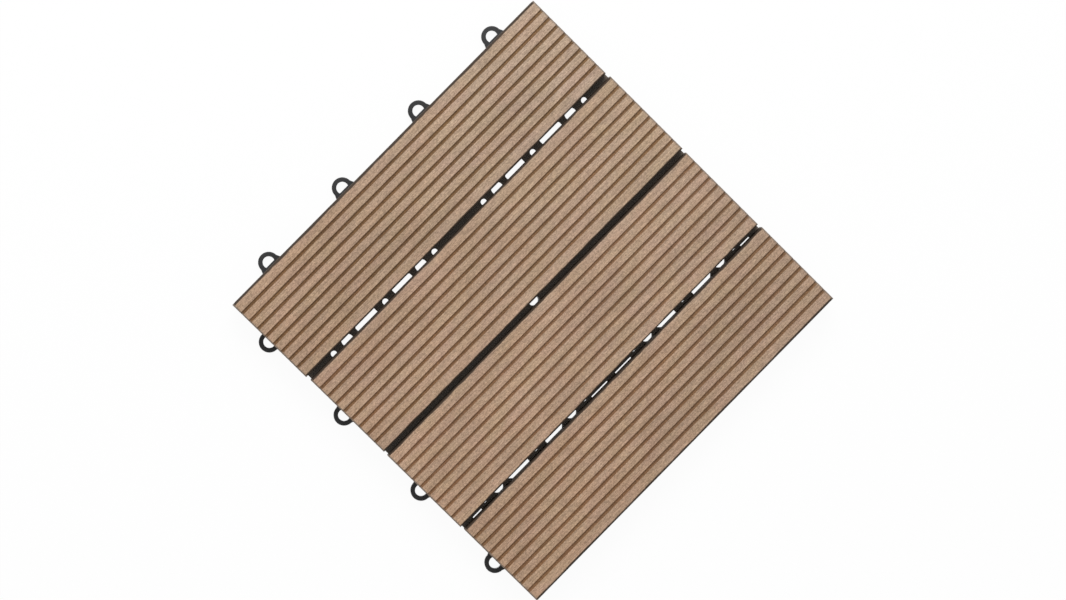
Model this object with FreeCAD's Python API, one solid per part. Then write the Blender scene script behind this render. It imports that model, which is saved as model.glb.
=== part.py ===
import FreeCAD, Part
import math
import os

# Interlocking deck tile: four grooved wood-composite slats, screwed from below to one moulded
# plastic grid that clips to its neighbours. Millimetres, +Z up. The slats run along X, and the
# origin is on the ground under the middle of the grid. The grid's loops reach out on the -X and +Y
# sides, and the pegs that a neighbour's loops slip over hang on the +X and -Y sides.

# Slats. The row of them, side by side with its margin, sets the side of the square tile, and they
# are cut to that side. As assembled each has slid a little along X, and sits a little towards -Y of
# its even place on the grid.
slat_count = 4
slat_width = 72.2
slat_gap = 3.6
row_margin = 0.4
slat_thickness = 12.0
slat_edge_radius = 1.8
slat_end_chamfer = 0.8
slat_slides = [-0.8, -0.1, -0.3, 0.3]
slat_seats = [-0.5, -0.6, -0.7, -0.4]
groove_count = 8
groove_pitch = 7.7
groove_width = 2.6
groove_floor_width = 1.6
groove_depth = 1.6

# The moulded grid, a little smaller than the square of slats
grid_setback = 0.6
grid_height = 13.0
grid_corner_radius = 0.6
deck_thickness = 3.0
skirt_thickness = 2.0
skirt_clearance = 1.5
skirt_inner_radius = 1.0
rib_thickness = 1.6
rib_clearance = 4.5

# Bars of the grid, as half-widths about the lines that they follow
middle_bar_half = 4.2
inner_bar_half = 5.0
joint_bar_half = 3.0
joint_band_half = 6.9
outer_bar_half = 5.3
border_width = 9.6
diagonal_width = 6.0

# Feet, hollow and open at the top, on three lines either side of the middle
foot_inset = 23.5
joint_line_setback = 1.6
foot_radius = 6.0
foot_recess_radius = 3.85
screw_passage_radius = 2.25
middle_drain_radius = 3.85

# Round bosses in the middle of each cell
boss_radius = 6.5
boss_clearance = 5.0

# Drain holes and slots along the joint lines
drain_radius = 4.45
slot_half_width = 5.2
slot_start = 9.0
slot_web = 5.3
slot_corner = 3.5

# Loops and the pegs that they slip over, on two lines either side of the middle
inner_connector = 38.3
outer_connector = 112.3
loop_outer_radius = 7.5
loop_inner_radius = 4.3
loop_reach = 2.7
loop_height = 4.0
loop_web = 1.2
loop_flare = 1.2
loop_edge = 0.5
peg_radius = 2.6
peg_clearance = 1.2
peg_tip = 0.6
pocket_play = 1.5

# Screws
screw_shank_radius = 1.75
screw_head_radius = 3.5
screw_head_flat = 2.4
screw_head_height = 2.2
screw_grip = 7.0
screw_tip = 2.5
screw_play = 0.03
pilot_spare = 0.6

# Sizes that follow from the ones above
slat_pitch = slat_width + slat_gap
tile_side = slat_count * slat_width + (slat_count - 1) * slat_gap + row_margin
half_tile = tile_side / 2
half_grid = half_tile - grid_setback
tile_top = grid_height + slat_thickness
deck_underside = grid_height - deck_thickness
joint_line = slat_pitch - joint_line_setback
inner_line = joint_line / 3
outer_line = half_grid - foot_inset
foot_lines = [inner_line, joint_line, outer_line]
connector_lines = [-outer_connector, -inner_connector, inner_connector, outer_connector]
loop_centre = half_grid + loop_reach
loop_hole_middle = (half_grid + loop_web + loop_centre + loop_inner_radius) / 2
peg_centre = tile_side - loop_hole_middle
pocket_half_width = loop_outer_radius + loop_flare + pocket_play
up = FreeCAD.Vector(0, 0, 1)


def at(x, y, z=0.0):
    return FreeCAD.Vector(x, y, z)


def plate(points, bottom, height):
    """Upright prism on a closed outline of (x, y) points."""
    outline = Part.makePolygon([at(x, y, bottom) for x, y in points + points[:1]])
    return Part.Face(outline).extrude(up * height)


def turned(x, y, profile):
    """Solid turned about the upright line through x, y from (radius, height) points."""
    points = [at(radius, 0, height) for radius, height in profile]
    outline = Part.makePolygon(points + points[:1])
    solid = Part.Face(outline).revolve(at(0, 0), up, 360)
    solid.translate(at(x, y))
    return solid


def four_ways(u, v):
    """The point u, v and its mirror images in both middle lines."""
    return [(su * u, sv * v) for su in (1, -1) for sv in (1, -1)]


def rectangle(across, along):
    """Corner points of an upright rectangle between two X limits and two Y limits."""
    (x0, x1), (y0, y1) = across, along
    return [(x0, y0), (x1, y0), (x1, y1), (x0, y1)]


# Slats

def slat_profile():
    """Cross-section of a slat about its own middle, as (y, z) from the seat, with the grooves."""
    half = slat_width / 2
    edge = slat_edge_radius
    bend = edge * (1 - math.sqrt(0.5))
    top = slat_thickness

    def point(y, z):
        return at(0, y, z)

    def rounded(side):
        start, middle, end = (half, top - edge), (half - bend, top - bend), (half - edge, top)
        return Part.Arc(*[point(side * y, z) for y, z in (start, middle, end)]).toShape()

    edges = [
        Part.makeLine(point(half, top - edge), point(half, 0)),
        Part.makeLine(point(half, 0), point(-half, 0)),
        Part.makeLine(point(-half, 0), point(-half, top - edge)),
        rounded(-1),
    ]
    here = point(edge - half, top)
    for i in range(groove_count):
        middle = (i - (groove_count - 1) / 2) * groove_pitch
        for y, z in [
            (middle - groove_width / 2, top),
            (middle - groove_floor_width / 2, top - groove_depth),
            (middle + groove_floor_width / 2, top - groove_depth),
            (middle + groove_width / 2, top),
        ]:
            edges.append(Part.makeLine(here, point(y, z)))
            here = point(y, z)
    edges.append(Part.makeLine(here, point(half - edge, top)))
    edges.append(rounded(1))
    return Part.Face(Part.Wire(edges))


def slat_middle(number):
    """Y of a slat's middle line, counted from the +Y side."""
    even_place = ((slat_count + 1) / 2 - number) * slat_pitch
    return even_place + slat_seats[(number - 1) % len(slat_seats)]


def screw_places(number):
    """Where the screws of a slat stand: one row through feet and one through cell bosses."""
    side = 1 if slat_middle(number) > 0 else -1
    outermost = number in (1, slat_count)
    foot_row = outer_line if outermost else inner_line
    cell_row = outer_cell_middle if outermost else inner_cell_middle
    feet = [(x, side * foot_row) for x in (-outer_line, -inner_line, inner_line, outer_line)]
    bosses = [(x, side * cell_row) for x in (-outer_cell_middle, outer_cell_middle)]
    return feet + bosses


def deck_slat(number):
    """One slat on its seat, with cut and chamfered ends and the holes of its screws."""
    middle = slat_middle(number)
    start = slat_slides[(number - 1) % len(slat_slides)] - half_tile
    end = start + tile_side
    long_form = slat_profile().extrude(at(tile_side, 0, 0))
    long_form.translate(at(start, middle, grid_height))
    side_view = [
        (start, grid_height),
        (end, grid_height),
        (end, tile_top - slat_end_chamfer),
        (end - slat_end_chamfer, tile_top),
        (start + slat_end_chamfer, tile_top),
        (start, tile_top - slat_end_chamfer),
    ]
    near = middle - slat_width / 2
    outline = Part.makePolygon([at(x, near, z) for x, z in side_view + side_view[:1]])
    slat = long_form.common(Part.Face(outline).extrude(at(0, slat_width, 0)))
    hole_radius = screw_shank_radius + screw_play
    hole_depth = screw_grip + pilot_spare
    holes = [
        Part.makeCylinder(hole_radius, hole_depth, at(x, y, grid_height), up)
        for x, y in screw_places(number)
    ]
    return slat.cut(Part.makeCompound(holes))


# Grid

middle_window = (middle_bar_half, inner_line - inner_bar_half)
border_window = (outer_line + outer_bar_half, half_grid - border_width)
long_windows = [
    (inner_line + inner_bar_half, joint_line - joint_bar_half),
    (joint_line + joint_bar_half, outer_line - outer_bar_half),
]
cells = [
    (inner_line + inner_bar_half, joint_line - joint_band_half),
    (joint_line + joint_band_half, outer_line - outer_bar_half),
]
inner_cell_middle, outer_cell_middle = [(low + high) / 2 for low, high in cells]


def mirrored(points):
    """An outline in the first quarter of the grid, with its copies in the other three."""
    return [[(su * x, sv * y) for x, y in points] for su in (1, -1) for sv in (1, -1)]


def cell_windows(across, along):
    """Four tapered windows round a cell's boss, between its diagonal straps."""
    (x0, x1), (y0, y1) = across, along
    cx, cy = (x0 + x1) / 2, (y0 + y1) / 2
    strap = diagonal_width / math.sqrt(2)
    near = boss_radius + rib_thickness
    wide_x, wide_y = (x1 - x0) / 2 - strap, (y1 - y0) / 2 - strap
    narrow = near - strap
    windows = []
    for side in (1, -1):
        edge_y = cy + side * (y1 - y0) / 2
        edge_x = cx + side * (x1 - x0) / 2
        windows.append([
            (cx - wide_x, edge_y), (cx + wide_x, edge_y),
            (cx + narrow, cy + side * near), (cx - narrow, cy + side * near),
        ])
        windows.append([
            (edge_x, cy - wide_y), (edge_x, cy + wide_y),
            (cx + side * near, cy + narrow), (cx + side * near, cy - narrow),
        ])
    return windows


def joint_slots():
    """Outlines of the drain slots along a joint line, with the corners off at the drain holes."""
    line = joint_line
    low, high = line - slot_half_width, line + slot_half_width
    slots = []
    for drain, square_end, away in [
        (inner_connector, line - slot_start, 1), (outer_connector, line + slot_start, -1),
    ]:
        end = drain + away * (drain_radius + slot_web)
        slots.append([
            (square_end, low), (end + away * slot_corner, low), (end, low + slot_corner),
            (end, high - slot_corner), (end + away * slot_corner, high), (square_end, high),
        ])
    return slots


def windows():
    """Every straight-sided opening through the deck of the grid."""
    quarter = [
        rectangle(middle_window, middle_window),
        rectangle(middle_window, border_window),
        rectangle(border_window, middle_window),
        rectangle(border_window, border_window),
    ]
    for strip in (middle_window, border_window):
        for long_window in long_windows:
            quarter.append(rectangle(strip, long_window))
            quarter.append(rectangle(long_window, strip))
    for across in cells:
        for along in cells:
            quarter += cell_windows(across, along)
    for slot in joint_slots():
        quarter.append(slot)
        quarter.append([(y, x) for x, y in slot])
    return [outline for shape in quarter for outline in mirrored(shape)]


def rounded_square(half, radius, z):
    """Closed wire of a square about the middle with rounded corners."""
    square = Part.makeBox(2 * half, 2 * half, 1, at(-half, -half, z))
    upright = [e for e in square.Edges if abs(e.tangentAt(e.FirstParameter).z) > 0.9]
    rounded = square.makeFillet(radius, upright)
    floor = min(rounded.Faces, key=lambda face: face.CenterOfMass.z)
    return floor.OuterWire


def deck():
    """The flat top of the grid, pierced by its windows."""
    outline = rounded_square(half_grid, grid_corner_radius, deck_underside)
    holes = [
        Part.makePolygon([at(x, y, deck_underside) for x, y in points + points[:1]])
        for points in windows()
    ]
    face = Part.Face(outline).cut(Part.makeCompound([Part.Face(hole) for hole in holes]))
    return face.extrude(up * deck_thickness)


def skirt():
    """The wall round the grid, from just above the ground into the deck."""
    outer = rounded_square(half_grid, grid_corner_radius, skirt_clearance)
    inner = rounded_square(half_grid - skirt_thickness, skirt_inner_radius, skirt_clearance)
    height = deck_underside - skirt_clearance
    return Part.Face(outer).extrude(up * height).cut(Part.Face(inner).extrude(up * height))


def rib(start, end):
    """Stiffening wall under the deck between two points."""
    run = at(*end) - at(*start)
    side = at(-run.y, run.x).normalize() * (rib_thickness / 2)
    corners = [at(*start) + side, at(*end) + side, at(*end) - side, at(*start) - side]
    return plate([(c.x, c.y) for c in corners], rib_clearance, deck_underside - rib_clearance)


def ribs():
    """Ribs under the bars both ways, doubled beside the slots of the joint lines."""
    reach = half_grid - skirt_thickness / 2
    beside = slot_half_width + rib_thickness / 2
    lines = []
    for place in (0, inner_line, -inner_line, outer_line, -outer_line):
        lines.append(((-reach, place), (reach, place)))
    for side in (1, -1):
        for end in (1, -1):
            line = side * joint_line
            lines.append(((end * outer_line, line), (end * reach, line)))
            for edge in (line - beside, line + beside):
                lines.append(((end * inner_line, edge), (end * outer_line, edge)))
        lines.append(((-inner_line, side * joint_line), (inner_line, side * joint_line)))
    both_ways = lines + [((y0, x0), (y1, x1)) for (x0, y0), (x1, y1) in lines]
    return [rib(start, end) for start, end in both_ways]


def screw_feet():
    """Middles of the feet that a screw can pass, all of them but the one in the middle."""
    return [place for u in foot_lines for v in foot_lines for place in four_ways(u, v)]


def cell_bosses():
    """Middles of the round bosses, one to a cell."""
    return [
        place
        for u in (inner_cell_middle, outer_cell_middle)
        for v in (inner_cell_middle, outer_cell_middle)
        for place in four_ways(u, v)
    ]


def passage(x, y, bottom):
    """Stepped hole for a screw: a wide recess for the head, and the passage through the deck."""
    wide, narrow = foot_recess_radius, screw_passage_radius
    return turned(x, y, [
        (0, bottom - 1), (wide, bottom - 1), (wide, deck_underside),
        (narrow, deck_underside), (narrow, grid_height + 1), (0, grid_height + 1),
    ])


def drains():
    """Round drain holes: on the joint lines in line with the loops, and one down the middle foot."""
    places = []
    for line in (joint_line, -joint_line):
        for place in connector_lines:
            places += [(place, line), (line, place)]
    holes = [
        Part.makeCylinder(drain_radius, grid_height, at(x, y, rib_clearance), up) for x, y in places
    ]
    return holes + [Part.makeCylinder(middle_drain_radius, grid_height, at(0, 0), up)]


def loop():
    """A loop in the +Y side's place at X = 0: a flared ring whose hole ends flat at the skirt."""
    root = half_grid - skirt_thickness / 2
    radius = loop_outer_radius
    flare = radius + loop_flare
    bottom = skirt_clearance
    centre = loop_centre
    outline = Part.Wire([
        Part.makeLine(at(-radius, centre, bottom), at(-flare, half_grid, bottom)),
        Part.makeLine(at(-flare, half_grid, bottom), at(-flare, root, bottom)),
        Part.makeLine(at(-flare, root, bottom), at(flare, root, bottom)),
        Part.makeLine(at(flare, root, bottom), at(flare, half_grid, bottom)),
        Part.makeLine(at(flare, half_grid, bottom), at(radius, centre, bottom)),
        Part.Arc(
            at(radius, centre, bottom), at(0, centre + radius, bottom), at(-radius, centre, bottom)
        ).toShape(),
    ])
    ring = Part.Face(outline).extrude(up * loop_height)
    rims = [
        edge for edge in ring.Edges
        if edge.Curve.TypeId == "Part::GeomCircle" and edge.BoundBox.ZLength < loop_edge
    ]
    return ring.makeChamfer(loop_edge, rims)


def loop_hole():
    """The hole in a loop, round outside and flat against the grid, in the same place."""
    flat = half_grid + loop_web
    depth = skirt_clearance + loop_height + 1
    hole = Part.makeCylinder(loop_inner_radius, depth, at(0, loop_centre), up)
    side = 2 * loop_inner_radius
    return hole.common(plate(rectangle((-side, side), (flat, flat + 2 * side)), 0, depth))


def peg():
    """A peg in the -Y side's place at X = 0, with a coned tip, hanging from the deck's border."""
    return turned(0, -peg_centre, [
        (0, peg_clearance), (peg_radius - peg_tip, peg_clearance),
        (peg_radius, peg_clearance + peg_tip), (peg_radius, grid_height), (0, grid_height),
    ])


def pocket():
    """Room in the skirt under the -Y side's place at X = 0 for a neighbour's loop."""
    across = (-pocket_half_width, pocket_half_width)
    through = (-half_grid - skirt_thickness, 2 * skirt_thickness - half_grid)
    return plate(rectangle(across, through), 0, deck_underside)


def moved(shape, offset, turn=0.0):
    """A copy slid along X and then turned about the tile's middle."""
    copy = shape.copy()
    copy.translate(at(offset, 0))
    copy.rotate(at(0, 0), up, turn)
    return copy


def connectors(shape):
    """A connector's copies along its own side and, turned a quarter, along the next one."""
    return [moved(shape, place, turn) for turn in (0, 90) for place in connector_lines]


def base_grid():
    """The whole moulding: deck, skirt, ribs, feet, bosses, loops and pegs in one solid."""
    body = skirt().cut(Part.makeCompound(connectors(pocket())))
    feet = [
        Part.makeCylinder(foot_radius, grid_height, at(x, y), up) for x, y in [(0, 0)] + screw_feet()
    ]
    bosses = [
        Part.makeCylinder(boss_radius, deck_underside - boss_clearance, at(x, y, boss_clearance), up)
        for x, y in cell_bosses()
    ]
    added = [body] + ribs() + feet + bosses + connectors(loop()) + connectors(peg())
    whole = deck().multiFuse(added)
    holes = [passage(x, y, 0) for x, y in screw_feet()]
    holes += [passage(x, y, boss_clearance) for x, y in cell_bosses()]
    holes += drains() + connectors(loop_hole())
    return whole.cut(Part.makeCompound(holes)).removeSplitter()


# Screws

def screw(x, y):
    """Self-tapping screw driven upwards, with its domed head seated under the deck."""
    seat = deck_underside
    tip = grid_height + screw_grip
    return turned(x, y, [
        (0, seat - screw_head_height), (screw_head_flat, seat - screw_head_height),
        (screw_head_radius, seat), (screw_shank_radius, seat), (screw_shank_radius, tip - screw_tip),
        (0, tip),
    ])


os.makedirs("parts", exist_ok=True)
base_grid().exportStep("parts/base_grid.step")
for number in range(1, slat_count + 1):
    deck_slat(number).exportStep(f"parts/deck_slat_{number}.step")
every_screw = [
    screw(x, y) for number in range(1, slat_count + 1) for x, y in screw_places(number)
]
Part.makeCompound(every_screw).exportStep("parts/deck_screws.step")
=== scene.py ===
import math

import bmesh
import bpy
from mathutils import Matrix, Vector


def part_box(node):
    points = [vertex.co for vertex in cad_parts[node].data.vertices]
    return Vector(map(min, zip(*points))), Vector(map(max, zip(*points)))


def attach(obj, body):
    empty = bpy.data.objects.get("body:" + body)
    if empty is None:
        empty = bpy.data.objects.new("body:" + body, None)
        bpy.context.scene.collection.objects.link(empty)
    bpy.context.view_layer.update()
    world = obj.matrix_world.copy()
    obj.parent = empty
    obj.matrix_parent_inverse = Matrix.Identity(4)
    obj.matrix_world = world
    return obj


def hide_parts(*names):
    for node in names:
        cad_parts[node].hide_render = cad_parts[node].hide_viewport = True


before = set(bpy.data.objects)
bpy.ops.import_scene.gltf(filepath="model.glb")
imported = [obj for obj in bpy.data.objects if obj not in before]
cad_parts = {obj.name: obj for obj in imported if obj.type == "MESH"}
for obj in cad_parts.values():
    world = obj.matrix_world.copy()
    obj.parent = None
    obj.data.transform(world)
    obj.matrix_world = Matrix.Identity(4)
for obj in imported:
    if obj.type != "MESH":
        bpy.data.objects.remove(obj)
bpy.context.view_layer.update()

# The grid that carries the tile: one black polypropylene moulding with its deck, skirt, ribs,
# feet, loops and pegs. It comes out of the mould with a fine satin spark texture, a little flow
# mottle and slightly soft edges, and fine dust off the sawn boards settles on its deck.


def feed(tree, socket, value):
    """A value set on a socket, or another socket linked to it."""
    if isinstance(value, bpy.types.NodeSocket):
        tree.links.new(value, socket)
    else:
        socket.default_value = value


def add(tree, kind, inputs=None, **settings):
    """A node in a tree, with its settings, and with its inputs fed by name or number."""
    node = tree.nodes.new(kind)
    for name, value in settings.items():
        setattr(node, name, value)
    for key, value in (inputs or {}).items():
        feed(tree, node.inputs[key], value)
    return node


def calculated(tree, operation, first, second=0.0):
    """The result of a sum on two values or sockets."""
    return add(tree, "ShaderNodeMath", {0: first, 1: second}, operation=operation).outputs[0]


def spread(tree, value, low, high, to_low=0.0, to_high=1.0):
    """A value that runs smoothly from to_low to to_high while its input runs from low to high."""
    node = add(
        tree, "ShaderNodeMapRange",
        {"Value": value, "From Min": low, "From Max": high, "To Min": to_low, "To Max": to_high},
        interpolation_type="SMOOTHSTEP",
    )
    return node.outputs["Result"]


def noise(tree, place, cells, seed=0.0, detail=2.0, roughness=0.5):
    """Noise with its own number of cells a metre along X, Y and Z."""
    scaled = add(tree, "ShaderNodeVectorMath", {0: place, 1: cells}, operation="MULTIPLY")
    texture = add(
        tree, "ShaderNodeTexNoise",
        {"Vector": scaled.outputs[0], "W": seed, "Scale": 1.0, "Detail": detail, "Roughness": roughness},
        noise_dimensions="4D",
    )
    return texture.outputs[0]


def mixed(tree, factor, colour, other, blend="MIX"):
    """Two colours mixed by a factor. The mix node has its colours on sockets 6 and 7."""
    node = add(
        tree, "ShaderNodeMix", {0: factor, 6: colour, 7: other}, data_type="RGBA", blend_type=blend
    )
    return node.outputs[2]


def laid_over(tree, body, colour, mask, amount):
    """A colour laid over another where a mask is 1, by an amount."""
    return mixed(tree, calculated(tree, "MULTIPLY", mask, amount), body, colour)


def new_group(name, inputs, outputs):
    """An empty shader node group, with the sockets that it is fed by and those that it feeds."""
    group = bpy.data.node_groups.new(name, "ShaderNodeTree")
    for socket, kind in inputs:
        group.interface.new_socket(socket, in_out="INPUT", socket_type=kind)
    for socket, kind in outputs:
        group.interface.new_socket(socket, in_out="OUTPUT", socket_type=kind)
    entry = group.nodes.new("NodeGroupInput")
    leave = group.nodes.new("NodeGroupOutput")
    return group, entry.outputs, leave.inputs


def placed(tree, group, inputs):
    """The outputs of a group that is placed in a material with its own values."""
    return add(tree, "ShaderNodeGroup", inputs, node_tree=group).outputs


def soft_edge_group():
    """Edges rounded off in the shading, and a mask that is 1 where an outer edge is worn."""
    group, given, result = new_group(
        "soft_edge", [("Radius", "NodeSocketFloat")],
        [("Normal", "NodeSocketVector"), ("Wear", "NodeSocketFloat")],
    )
    rounded = add(group, "ShaderNodeBevel", {"Radius": given["Radius"]}, samples=6).outputs[0]
    flat = add(group, "ShaderNodeNewGeometry").outputs["Normal"]
    agree = add(group, "ShaderNodeVectorMath", {0: rounded, 1: flat}, operation="DOT_PRODUCT")
    still_flat = 0.995
    well_round = 0.80
    wear = spread(group, agree.outputs["Value"], still_flat, well_round)
    feed(group, result["Normal"], rounded)
    feed(group, result["Wear"], wear)
    return group


def mottle_group():
    """Broad and fine cloudiness, each about a half."""
    group, given, result = new_group(
        "mottle",
        [("Place", "NodeSocketVector"), ("Seed", "NodeSocketFloat")],
        [("Broad", "NodeSocketFloat"), ("Fine", "NodeSocketFloat")],
    )
    for name, cells in (("Broad", 28.0), ("Fine", 420.0)):
        cloud = noise(group, given["Place"], (cells, cells, cells), given["Seed"], detail=3.0)
        feed(group, result[name], cloud)
    return group


soft_edge = soft_edge_group()
mottle = mottle_group()


def shader_and_place(name):
    """A new material with its tree, its Principled shader and the place in the row frame."""
    material = bpy.data.materials.new(name)
    material.use_nodes = True
    tree = material.node_tree
    shader = tree.nodes["Principled BSDF"]
    place = add(tree, "ShaderNodeTexCoord").outputs["Object"]
    return material, tree, shader, place


deck_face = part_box("base_grid")[1].z


def moulded_plastic():
    """Black polypropylene with spark texture, flow mottle, paler edges and board dust on the deck."""
    material, tree, shader, place = shader_and_place("moulded_black_plastic")
    edge = placed(tree, soft_edge, {"Radius": 0.0004})
    cloud = placed(tree, mottle, {"Place": place, "Seed": 3.0})
    deep_black = (0.012, 0.012, 0.013, 1.0)
    grey_black = (0.021, 0.021, 0.022, 1.0)
    worn_black = (0.040, 0.040, 0.042, 1.0)
    board_dust = (0.175, 0.138, 0.105, 1.0)
    body = mixed(tree, spread(tree, cloud["Broad"], 0.35, 0.65), deep_black, grey_black)
    body = laid_over(tree, body, worn_black, edge["Wear"], 0.6)
    height = add(tree, "ShaderNodeSeparateXYZ", {0: place}).outputs["Z"]
    on_deck = spread(tree, height, deck_face - 0.0004, deck_face - 0.0001)
    settled = spread(tree, cloud["Fine"], 0.3, 0.7, 0.55, 0.95)
    feed(tree, shader.inputs["Base Color"], laid_over(tree, body, board_dust, on_deck, settled))
    feed(tree, shader.inputs["Roughness"], spread(tree, cloud["Fine"], 0.3, 0.7, 0.40, 0.54))
    spark = noise(tree, place, (3200.0, 3200.0, 3200.0), 1.0)
    relief = add(
        tree, "ShaderNodeBump",
        {"Strength": 0.55, "Distance": 0.00004, "Height": spark, "Normal": edge["Normal"]},
    )
    feed(tree, shader.inputs["Normal"], relief.outputs["Normal"])
    return material


def finish_node(name, material):
    """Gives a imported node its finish."""
    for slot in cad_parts[name].material_slots:
        slot.material = material


finish_node("base_grid", moulded_plastic())

# The four slats: boards of wood-plastic composite, extruded with eight grooves, brushed on top so
# that the ridges turn pale and fibrous while the grooves keep the dark skin of the die, and sawn
# to length with a small chamfer. Each comes from its own stretch of extrusion, so tones differ.
# Painted light also shifts each board's tone from end to end, and painted shade widens and darkens
# the dark skin along its long edges.

chamfer_run = 0.0008
skin_fade = 0.0006
skin_waver = 0.00022
grain_effects = (
    "Streak", "Fibre", "Scratch", "Fleck", "Dark Fleck", "Drift", "Redness", "Yellowness",
    "Skin Edge", "Saw",
)


def grain_group():
    """Brushed composite: streaks, fibres, scratches, flecks, slow drifts of tone and hue, saw marks."""
    group, given, result = new_group(
        "brushed_grain",
        [("Place", "NodeSocketVector"), ("Board", "NodeSocketFloat")],
        [(name, "NodeSocketFloat") for name in grain_effects],
    )

    def effect(name, cells, low, high, shift=0.0, detail=2.0, roughness=0.5):
        """One effect of the grain: noise of its own, spread from low to high."""
        seed = calculated(group, "ADD", given["Board"], shift)
        value = noise(group, given["Place"], cells, seed, detail, roughness)
        feed(group, result[name], spread(group, value, low, high))

    effect("Streak", (22.0, 620.0, 620.0), 0.30, 0.70, detail=4.0, roughness=0.6)
    effect("Fibre", (1000.0, 1700.0, 1700.0), 0.30, 0.70, detail=3.0, roughness=0.6)
    effect("Scratch", (95.0, 3300.0, 3300.0), 0.28, 0.72)
    effect("Fleck", (420.0, 1500.0, 1500.0), 0.62, 0.74, detail=1.0)
    effect("Dark Fleck", (300.0, 1100.0, 1100.0), 0.64, 0.76, shift=31.0, detail=1.0)
    effect("Drift", (12.0, 30.0, 30.0), 0.32, 0.68, detail=3.0)
    effect("Redness", (50.0, 85.0, 85.0), 0.33, 0.67, shift=57.0)
    effect("Yellowness", (45.0, 75.0, 75.0), 0.33, 0.67, shift=83.0)
    effect("Skin Edge", (70.0, 260.0, 260.0), 0.30, 0.70, shift=19.0, detail=3.0)
    effect("Saw", (0.0, 1300.0, 75.0), 0.32, 0.68, shift=43.0, detail=3.0)
    return group


brushed_grain = grain_group()


def multiplied(tree, colour, share):
    """A colour of which each channel keeps a share."""
    return mixed(tree, 1.0, colour, share, "MULTIPLY")


def brushed_face(tree, grain, wear, pale, deep, painted_light_tint):
    """The tone of the brushed ridges, from fine fibres to slow drifts, with flecks and rubbed edges,
    under a tint of painted light.
    """
    body = mixed(tree, grain["Streak"], deep, pale)
    layers = (
        ("Fibre", (0.68, 0.67, 0.66, 1.0), (1.32, 1.33, 1.34, 1.0)),
        ("Scratch", (0.80, 0.79, 0.78, 1.0), (1.19, 1.20, 1.21, 1.0)),
        ("Drift", (0.93, 0.925, 0.92, 1.0), (1.06, 1.06, 1.06, 1.0)),
        ("Redness", (0.989, 1.009, 1.0, 1.0), (1.014, 0.989, 1.0, 1.0)),
        ("Yellowness", (1.0, 1.0, 1.033, 1.0), (1.0, 1.0, 0.965, 1.0)),
    )
    for effect, dull, bright in layers:
        body = multiplied(tree, body, mixed(tree, grain[effect], dull, bright))
    # Painted light: the body is multiplied by a tint that runs from one end of the board to the other.
    body = multiplied(tree, body, painted_light_tint)
    body = laid_over(tree, body, (0.60, 0.47, 0.35, 1.0), grain["Fleck"], 0.35)
    body = laid_over(tree, body, (0.20, 0.125, 0.080, 1.0), grain["Dark Fleck"], 0.40)
    return laid_over(tree, body, (0.55, 0.41, 0.295, 1.0), wear, 0.25)


def in_from_sides(tree, across, low, high):
    """How far inside its two long sides a place on the board is."""
    from_low = calculated(tree, "SUBTRACT", across, low)
    from_high = calculated(tree, "SUBTRACT", high, across)
    return calculated(tree, "MINIMUM", from_low, from_high)


def on_sawn_end(tree, along, low, high):
    """A mask that is 1 on the two sawn ends and their chamfers."""
    middle = (low + high) / 2
    half_length = (high - low) / 2
    out = calculated(tree, "ABSOLUTE", calculated(tree, "SUBTRACT", along, middle))
    return spread(tree, out, half_length - 1.9 * chamfer_run, half_length - 0.9 * chamfer_run)


def board_relief(tree, grain, sawn, normal):
    """Scratches and streaks along the face, and saw marks up the ends, over the soft edges."""
    scratches = calculated(tree, "MULTIPLY", grain["Scratch"], 0.6)
    streaks = calculated(tree, "MULTIPLY", grain["Streak"], 0.4)
    saw_marks = calculated(tree, "MULTIPLY", grain["Saw"], sawn)
    height = calculated(tree, "ADD", calculated(tree, "ADD", scratches, streaks), saw_marks)
    relief = {"Strength": 0.6, "Distance": 0.00008, "Height": height, "Normal": normal}
    return add(tree, "ShaderNodeBump", relief).outputs["Normal"]


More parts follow.
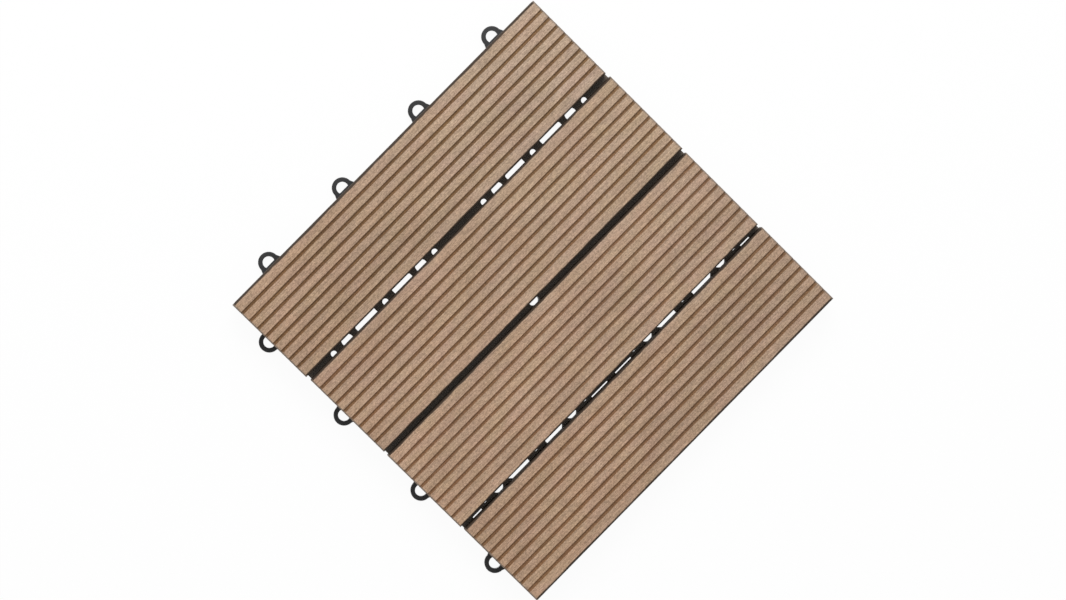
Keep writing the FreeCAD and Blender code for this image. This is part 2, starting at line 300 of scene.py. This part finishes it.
def composite_board(
    number, pale, deep, left_end_painted_light, right_end_painted_light, groove_share, groove_skin, low_edge_skin_and_shade, high_edge_skin_and_shade
):
    """One board's finish, between its pale and its deep brown.

    Its tone runs from left_end_painted_light at the left end to right_end_painted_light at the right
    end, a painted light gradient across the tile. The die skin left in its grooves keeps groove_share of
    the tone and starts groove_skin below the face. Along its two long edges a dark band of die skin,
    widened and darkened by painted shade, is low_edge_skin_and_shade and high_edge_skin_and_shade wide,
    seen from above.
    """
    material, tree, shader, place = shader_and_place(f"composite_board_{number}")
    low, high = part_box(f"deck_slat_{number}")
    axis = add(tree, "ShaderNodeSeparateXYZ", {0: place}).outputs
    grain = placed(tree, brushed_grain, {"Place": place, "Board": 7.3 * number})
    edge = placed(tree, soft_edge, {"Radius": 0.00035})
    # Painted light: tone and hue change from the left end to the right end, standing in for light
    # falling unevenly across the tile.
    painted_light_tint = mixed(tree, spread(tree, axis["X"], low.x, high.x), left_end_painted_light, right_end_painted_light)
    body = brushed_face(tree, grain, edge["Wear"], pale, deep, painted_light_tint)

    waver = spread(tree, grain["Skin Edge"], 0.0, 1.0, -skin_waver, skin_waver)
    depth = calculated(tree, "ADD", calculated(tree, "SUBTRACT", high.z, axis["Z"]), waver)
    in_groove = spread(tree, depth, groove_skin, groove_skin + skin_fade)
    body = mixed(tree, in_groove, body, multiplied(tree, body, groove_share))
    # Real skin and painted shade: a dark band along the long edges, the die skin widened and darkened by
    # painted shade where the rounded edge turns from the light.
    inside = in_from_sides(tree, axis["Y"], low.y + low_edge_skin_and_shade, high.y - high_edge_skin_and_shade)
    inside = calculated(tree, "SUBTRACT", inside, waver)
    on_side_skin_and_shade = spread(tree, inside, skin_fade / 2, -skin_fade / 2)
    body = mixed(tree, on_side_skin_and_shade, body, (0.050, 0.031, 0.019, 1.0))

    sawn = on_sawn_end(tree, axis["X"], low.x, high.x)
    sawn_tone = mixed(tree, grain["Saw"], (0.185, 0.145, 0.114, 1.0), (0.245, 0.196, 0.157, 1.0))
    sawn_tone = mixed(tree, grain["Fleck"], sawn_tone, (0.38, 0.31, 0.25, 1.0))
    body = laid_over(tree, body, sawn_tone, sawn, 0.8)

    feed(tree, shader.inputs["Base Color"], body)
    feed(tree, shader.inputs["Roughness"], spread(tree, grain["Streak"], 0.0, 1.0, 0.62, 0.78))
    feed(tree, shader.inputs["Specular IOR Level"], 0.35)
    feed(tree, shader.inputs["Normal"], board_relief(tree, grain, sawn, edge["Normal"]))
    return material


# The end tints are painted light; the edge widths hold die skin and painted shade.
finish_node("deck_slat_1", composite_board(
    1, pale=(0.438, 0.306, 0.213, 1.0), deep=(0.377, 0.259, 0.177, 1.0),
    left_end_painted_light=(1.0, 0.96, 0.92, 1.0), right_end_painted_light=(1.025, 1.055, 1.085, 1.0),
    groove_share=(0.50, 0.39, 0.245, 1.0), groove_skin=0.00058, low_edge_skin_and_shade=0.0013, high_edge_skin_and_shade=0.00165,
))
finish_node("deck_slat_2", composite_board(
    2, pale=(0.449, 0.310, 0.215, 1.0), deep=(0.386, 0.262, 0.178, 1.0),
    left_end_painted_light=(1.005, 0.97, 0.95, 1.0), right_end_painted_light=(1.005, 1.03, 1.025, 1.0),
    groove_share=(0.555, 0.435, 0.292, 1.0), groove_skin=0.00067, low_edge_skin_and_shade=0.00125, high_edge_skin_and_shade=0.0013,
))
finish_node("deck_slat_3", composite_board(
    3, pale=(0.465, 0.318, 0.219, 1.0), deep=(0.399, 0.270, 0.182, 1.0),
    left_end_painted_light=(1.055, 1.025, 1.0, 1.0), right_end_painted_light=(0.95, 0.96, 0.97, 1.0),
    groove_share=(0.595, 0.475, 0.345, 1.0), groove_skin=0.0009, low_edge_skin_and_shade=0.00112, high_edge_skin_and_shade=0.00125,
))
finish_node("deck_slat_4", composite_board(
    4, pale=(0.447, 0.306, 0.211, 1.0), deep=(0.384, 0.258, 0.174, 1.0),
    left_end_painted_light=(1.035, 1.0, 0.97, 1.0), right_end_painted_light=(0.97, 0.98, 0.985, 1.0),
    groove_share=(0.64, 0.515, 0.373, 1.0), groove_skin=0.0003, low_edge_skin_and_shade=0.0016, high_edge_skin_and_shade=0.00112,
))

# The twenty-four screws: zinc-plated steel, cold headed with a cross recess, the thread rolled up
# to the head. Each is driven upwards through a foot or a boss of the grid into a slat.

screw_low, screw_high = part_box("deck_screws")
head_bottom = screw_low.z
screw_tip = screw_high.z
under_head = 0.0100
head_radius = 0.0035
head_flat_radius = 0.0024
head_rim = 0.0003
head_steps = 6
crest_radius = 0.00175
core_radius = 0.00125
thread_pitch = 0.0014
crest_half_width = 0.22
point_length = 0.0025
blunt_point = 0.02
shank_steps = 34
recess_reach = 0.0018
recess_half_width = 0.00042
recess_depth = 0.0014
recess_narrowing = 0.55
arm_turn = math.atan(recess_half_width / recess_reach)
quarter_turns = [0, arm_turn, (arm_turn + math.pi / 4) / 2, math.pi / 4]
quarter_turns += [math.pi / 2 - turn for turn in reversed(quarter_turns[1:3])]
turns = [turn + quarter * math.pi / 2 for quarter in range(4) for turn in quarter_turns]


def screw_places():
    """Where the screws stand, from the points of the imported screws."""
    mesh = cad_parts["deck_screws"].data
    points = [vertex.co for vertex in mesh.vertices if vertex.co.z > screw_tip - 1e-5]
    places = []
    for point in points:
        if all((point.xy - place).length > 0.002 for place in places):
            places.append(point.xy.copy())
    return sorted(places, key=lambda place: (round(place.y, 4), round(place.x, 4)))


def cross_radius(turn):
    """Distance from the axis to the outline of the cross recess in a direction."""
    from_arm = turn % (math.pi / 2)
    from_arm = min(from_arm, math.pi / 2 - from_arm)
    end = recess_reach / math.cos(from_arm)
    side = recess_half_width / max(math.sin(from_arm), 1e-6)
    return min(end, side)


def thread_radius(turn, z):
    """Distance from the axis to the rolled thread, which runs out in the point."""
    phase = (z / thread_pitch - turn / (2 * math.pi)) % 1.0
    crest = max(0.0, 1 - abs(phase - 0.5) / crest_half_width)
    point = min(1.0, max((screw_tip - z) / point_length, blunt_point))
    return point * (core_radius + (crest_radius - core_radius) * crest)


def one_screw():
    """The mesh of one screw about its own axis, at its real height, ring by ring up to its point."""
    bm = bmesh.new()

    def ring(radii, z):
        return [
            bm.verts.new((radius * math.cos(turn), radius * math.sin(turn), z))
            for radius, turn in zip(radii, turns)
        ]

    cross = [cross_radius(turn) for turn in turns]
    rings = [
        ring([recess_narrowing * radius for radius in cross], head_bottom + recess_depth),
        ring(cross, head_bottom),
    ]
    for step in range(head_steps + 1):
        bend = step / head_steps * math.pi / 2
        radius = head_flat_radius + (head_radius - head_flat_radius) * math.sin(bend)
        z = head_bottom + (under_head - head_rim - head_bottom) * (1 - math.cos(bend))
        rings.append(ring([radius] * len(turns), z))
    rings.append(ring([head_radius] * len(turns), under_head))
    for step in range(shank_steps + 1):
        z = under_head + (screw_tip - under_head) * step / shank_steps
        rings.append(ring([thread_radius(turn, z) for turn in turns], z))
    bm.faces.new(rings[0])
    for lower, upper in zip(rings, rings[1:]):
        for i in range(len(turns)):
            j = (i + 1) % len(turns)
            bm.faces.new((lower[i], lower[j], upper[j], upper[i]))
    bm.faces.new(list(reversed(rings[-1])))
    bmesh.ops.recalc_face_normals(bm, faces=bm.faces)
    mesh = bpy.data.meshes.new("one_screw")
    bm.to_mesh(mesh)
    bm.free()
    return mesh


def screw_set():
    """All the screws in one mesh, each turned to its own angle as the driver left it."""
    screw = one_screw()
    bm = bmesh.new()
    for i, place in enumerate(screw_places()):
        first = len(bm.verts)
        bm.from_mesh(screw)
        bm.verts.ensure_lookup_table()
        turn = Matrix.Rotation(2.4 * i, 4, "Z")
        shift = Matrix.Translation((place.x, place.y, 0.0))
        bmesh.ops.transform(bm, matrix=shift @ turn, verts=bm.verts[first:])
    mesh = bpy.data.meshes.new("deck_screw_set")
    bm.to_mesh(mesh)
    bm.free()
    bpy.data.meshes.remove(screw)
    piece = bpy.data.objects.new("deck_screw_set", mesh)
    bpy.context.scene.collection.objects.link(piece)
    return piece


def zinc_plate():
    """Bright zinc over steel, faintly blue and straw, brighter and duller in clouds."""
    material, tree, shader, place = shader_and_place("bright_zinc")
    cloud = placed(tree, mottle, {"Place": place, "Seed": 11.0})
    edge = placed(tree, soft_edge, {"Radius": 0.00015})
    blue_zinc = (0.60, 0.62, 0.64, 1.0)
    straw_zinc = (0.66, 0.64, 0.58, 1.0)
    plate = mixed(tree, spread(tree, cloud["Fine"], 0.35, 0.65), blue_zinc, straw_zinc)
    feed(tree, shader.inputs["Base Color"], plate)
    feed(tree, shader.inputs["Metallic"], 1.0)
    feed(tree, shader.inputs["Roughness"], spread(tree, cloud["Fine"], 0.3, 0.7, 0.26, 0.42))
    feed(tree, shader.inputs["Normal"], edge["Normal"])
    return material


screws = screw_set()
screws.data.materials.append(zinc_plate())
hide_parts("deck_screws")
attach(screws, "root")

# The white sweep that the tile lies on: a sheet of matt paper. It shows white to the camera, takes
# a light share of the tile's own shadow, and sends plain light back up.


def white_paper():
    """Matt paper that is nearly white to the camera, in reflections and through what is clear."""
    material, tree, shader = shader_and_place("white_paper")[:3]
    feed(tree, shader.inputs["Base Color"], (0.92, 0.92, 0.92, 1.0))
    feed(tree, shader.inputs["Roughness"], 0.9)
    feed(tree, shader.inputs["Specular IOR Level"], 0.0)
    rays = add(tree, "ShaderNodeLightPath").outputs
    seen = calculated(tree, "MAXIMUM", rays["Is Camera Ray"], rays["Is Glossy Ray"])
    seen = calculated(tree, "MAXIMUM", seen, rays["Is Transmission Ray"])
    white = add(tree, "ShaderNodeEmission", {"Color": (1.0, 1.0, 1.0, 1.0), "Strength": 1.0})
    share = calculated(tree, "MULTIPLY", seen, 0.95)
    mix = add(tree, "ShaderNodeMixShader", {0: share, 1: shader.outputs[0], 2: white.outputs[0]})
    feed(tree, tree.nodes["Material Output"].inputs["Surface"], mix.outputs[0])
    return material


def white_sweep():
    """The sheet, just below the tile's feet."""
    reach = 12.0
    height = -0.0002
    bm = bmesh.new()
    corners = [(-reach, -reach), (reach, -reach), (reach, reach), (-reach, reach)]
    bm.faces.new([bm.verts.new((x, y, height)) for x, y in corners])
    mesh = bpy.data.meshes.new("white_sweep")
    bm.to_mesh(mesh)
    bm.free()
    mesh.materials.append(white_paper())
    sweep = bpy.data.objects.new("white_sweep", mesh)
    bpy.context.scene.collection.objects.link(sweep)
    return sweep


white_sweep()

# The studio light: a broad soft lamp beyond the tile's back right corner, and plain white light all
# round, which shows as pure white where the camera looks past the sweep.


def soft_lamp():
    """The lamp, aimed at the middle of the tile."""
    lamp = bpy.data.lights.new("soft_lamp", "AREA")
    lamp.shape = "DISK"
    lamp.size = 1.1
    lamp.energy = 18.0
    stand = bpy.data.objects.new("soft_lamp", lamp)
    stand.location = (0.70, 0.85, 1.20)
    aim = Vector((0.0, 0.0, 0.0)) - stand.location
    stand.rotation_euler = aim.to_track_quat("-Z", "Y").to_euler()
    bpy.context.scene.collection.objects.link(stand)


def studio_world():
    """White light from all sides, at a lower level than the white that the camera sees."""
    light_level = 0.55
    world = bpy.data.worlds.new("studio")
    world.use_nodes = True
    tree = world.node_tree
    rays = add(tree, "ShaderNodeLightPath").outputs
    seen = calculated(tree, "MAXIMUM", rays["Is Camera Ray"], rays["Is Transmission Ray"])
    extra = calculated(tree, "MULTIPLY", seen, 1.0 - light_level)
    background = tree.nodes["Background"]
    feed(tree, background.inputs["Color"], (1.0, 1.0, 1.0, 1.0))
    feed(tree, background.inputs["Strength"], calculated(tree, "ADD", light_level, extra))
    bpy.context.scene.world = world


soft_lamp()
studio_world()

# The camera, high above and a little behind the tile. Its picture has the back right corner at the
# top, so that the slats run up to the right.


def camera():
    """The camera at its height, aimed near the tile's middle, with a small roll off the diagonal."""
    lens = bpy.data.cameras.new("camera")
    lens.sensor_width = 36.0
    lens.lens = 98.863
    lens.clip_end = 50.0
    eye = bpy.data.objects.new("camera", lens)
    eye.location = (-0.05578, 0.15933, 2.07996)
    looks_at = Vector((-0.00045, 0.00157, 0.025))
    roll = math.radians(0.3107)
    back = (eye.location - looks_at).normalized()
    right = Vector((1.0, 1.0, 0.0)).cross(back).normalized()
    up = back.cross(right)
    turn = Matrix((right, up, back)).transposed()
    eye.rotation_euler = (turn @ Matrix.Rotation(-roll, 3, "Z")).to_euler()
    bpy.context.scene.collection.objects.link(eye)
    bpy.context.scene.camera = eye


camera()
bpy.context.scene.view_settings.view_transform = "Standard"
